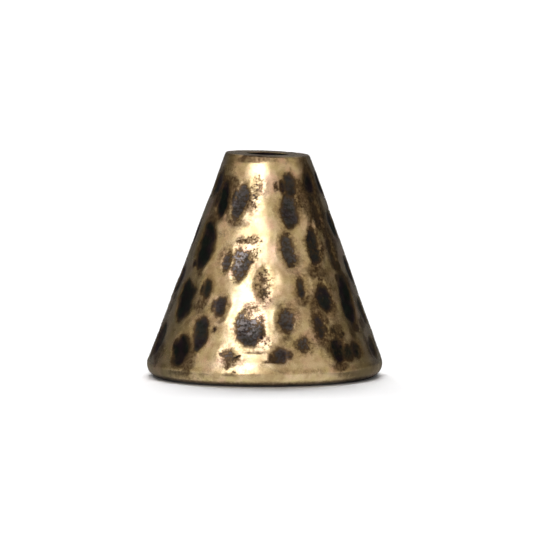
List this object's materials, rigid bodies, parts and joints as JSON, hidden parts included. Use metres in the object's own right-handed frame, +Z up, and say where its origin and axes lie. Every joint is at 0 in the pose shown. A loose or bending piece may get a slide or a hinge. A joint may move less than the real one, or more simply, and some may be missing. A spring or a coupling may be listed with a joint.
{
  "type": "cone bead",
  "caption": "Hollow hammered cone bead in antiqued brass, open at its wide rounded foot, with a cord hole through its small flat top.",
  "frame": {"origin": "centre of the foot, on the surface that the bead stands on, under the middle of the top hole", "axes": "+Z up through the top hole; -Y is the side that the picture shows, with +X to its right"},
  "size_m": [0.015, 0.015, 0.0142],
  "materials": {
    "antiqued_brass": "polished on the raised metal, blackened and matt inside the hammered dents"
  },
  "bodies": {
    "root": {"cone_bead": "antiqued_brass"}
  },
  "joints": []
}
